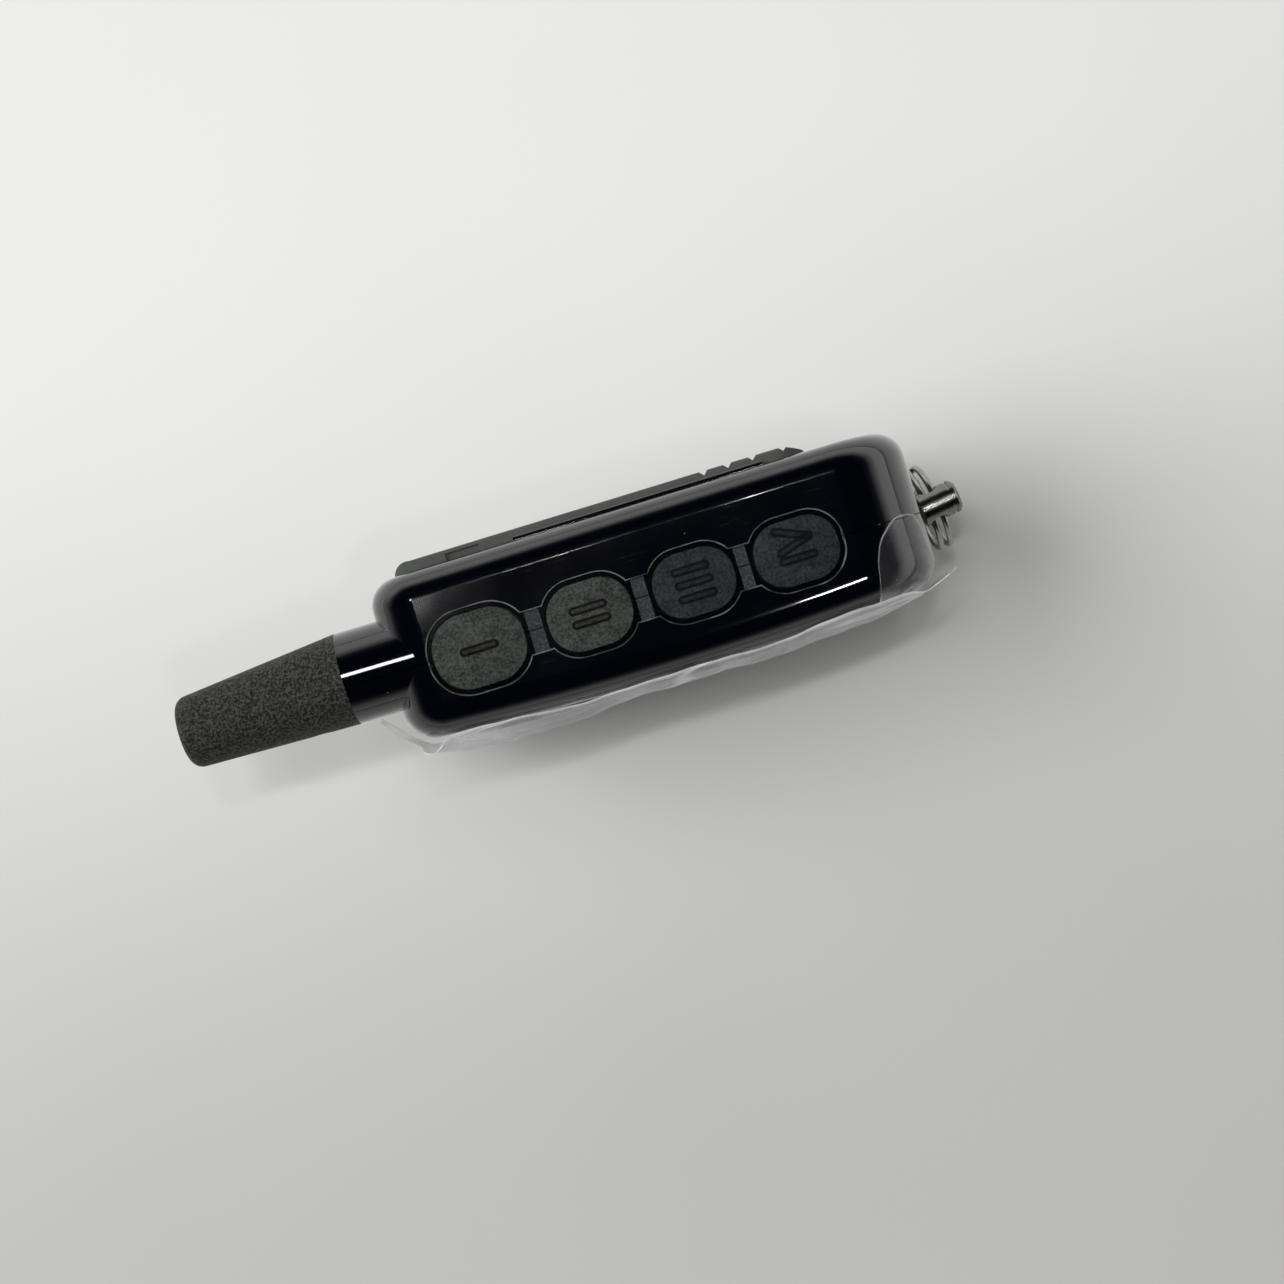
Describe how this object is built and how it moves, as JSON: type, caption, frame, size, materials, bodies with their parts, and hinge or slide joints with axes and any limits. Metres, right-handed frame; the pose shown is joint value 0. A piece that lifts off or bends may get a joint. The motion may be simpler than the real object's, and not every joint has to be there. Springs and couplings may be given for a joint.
{
  "type": "car key fob",
  "caption": "Pager-style car alarm key fob: two-shell case with a display, a row of side keys, a stub antenna, a sliding battery cover and a swivelling key ring.",
  "frame": {"origin": "middle of the flat long edge that the case stands on, below the middle of the case, close by the parting plane of its shells", "axes": "+X to the key-ring end, +Y to the battery cover, +Z to the row of keys"},
  "size_m": [0.0933, 0.023, 0.0385],
  "materials": {
    "case_gloss": "polished blue-black ABS",
    "cover_matte": "matte dark grey ABS, fine spark texture",
    "screw_steel": "zinc-plated steel",
    "lens_clear": "clear acrylic window",
    "film_clear": "thin clear protective film",
    "frame_white": "white moulded frame",
    "lcd_glass": "grey-green liquid-crystal glass",
    "guide_clear": "milky acrylic light guide",
    "zebra_rubber": "layered conductive rubber",
    "board_green": "green solder mask on glass-epoxy board",
    "chip_black": "moulded black epoxy",
    "can_tinned": "tinned sheet steel",
    "weight_steel": "sintered steel",
    "cell_wrap": "plain shrink-wrapped cell",
    "contact_nickel": "nickel-plated spring steel",
    "cap_rubber": "matte grained black rubber",
    "foot_brass": "turned brass",
    "lug_chrome": "bright chrome plating",
    "ring_nickel": "nickel-plated spring wire",
    "key_rubber": "matte speckled charcoal rubber",
    "plunger_nylon": "black nylon"
  },
  "bodies": {
    "case": {"front_shell": "case_gloss", "back_shell": "case_gloss", "case_screws": "screw_steel", "display_lens": "lens_clear", "protective_film": "film_clear", "lcd_frame": "frame_white", "lcd_front_glass": "lcd_glass", "lcd_rear_glass": "lcd_glass", "backlight_guide": "guide_clear", "zebra_strip": "zebra_rubber", "main_board": "board_green", "board_chips": "chip_black", "radio_can": "can_tinned", "quartz_crystal": "can_tinned", "buzzer": "chip_black", "motor_can": "can_tinned", "side_switches": "chip_black", "battery_cell": "cell_wrap", "battery_spring": "contact_nickel", "minus_contact": "contact_nickel", "plus_contact": "contact_nickel", "antenna_cap": "cap_rubber", "antenna_foot": "foot_brass", "antenna_coil": "foot_brass", "antenna_clip": "contact_nickel"},
    "cover": {"battery_cover": "cover_matte"},
    "weight": {"motor_weight": "weight_steel"},
    "lug": {"ring_lug": "lug_chrome"},
    "ring": {"split_ring": "ring_nickel"},
    "key_1": {"key_1": "key_rubber", "switch_plunger_1": "plunger_nylon"},
    "key_2": {"key_2": "key_rubber", "switch_plunger_2": "plunger_nylon"},
    "key_3": {"key_3": "key_rubber", "switch_plunger_3": "plunger_nylon"},
    "key_4": {"key_4": "key_rubber", "switch_plunger_4": "plunger_nylon"}
  },
  "joints": [
    {"name": "key_1_press", "type": "slide", "parent": "case", "child": "key_1", "axis": [0, 0, -1], "range_m": [0, 0.00035], "stiffness_N_per_m": 2500},
    {"name": "key_2_press", "type": "slide", "parent": "case", "child": "key_2", "axis": [0, 0, -1], "range_m": [0, 0.00035], "stiffness_N_per_m": 2500},
    {"name": "key_3_press", "type": "slide", "parent": "case", "child": "key_3", "axis": [0, 0, -1], "range_m": [0, 0.00035], "stiffness_N_per_m": 2500},
    {"name": "key_4_press", "type": "slide", "parent": "case", "child": "key_4", "axis": [0, 0, -1], "range_m": [0, 0.00035], "stiffness_N_per_m": 2500},
    {"name": "cover_slide", "type": "slide", "parent": "case", "child": "cover", "axis": [-1, 0, 0], "range_m": [0, 0.005]},
    {"name": "motor_spin", "type": "hinge", "parent": "case", "child": "weight", "pos_m": [0.0125, -0.0009, 0.02467], "axis": [1, 0, 0], "continuous": true},
    {"name": "lug_turn", "type": "hinge", "parent": "case", "child": "lug", "pos_m": [0.0286, 0, 0.019], "axis": [0.9903, 0.1392, 0], "continuous": true},
    {"name": "ring_swing", "type": "hinge", "parent": "lug", "child": "ring", "pos_m": [0.03434, 0.00081, 0.019], "axis": [0.1392, -0.9903, 0], "range_deg": [-8, 188]}
  ]
}
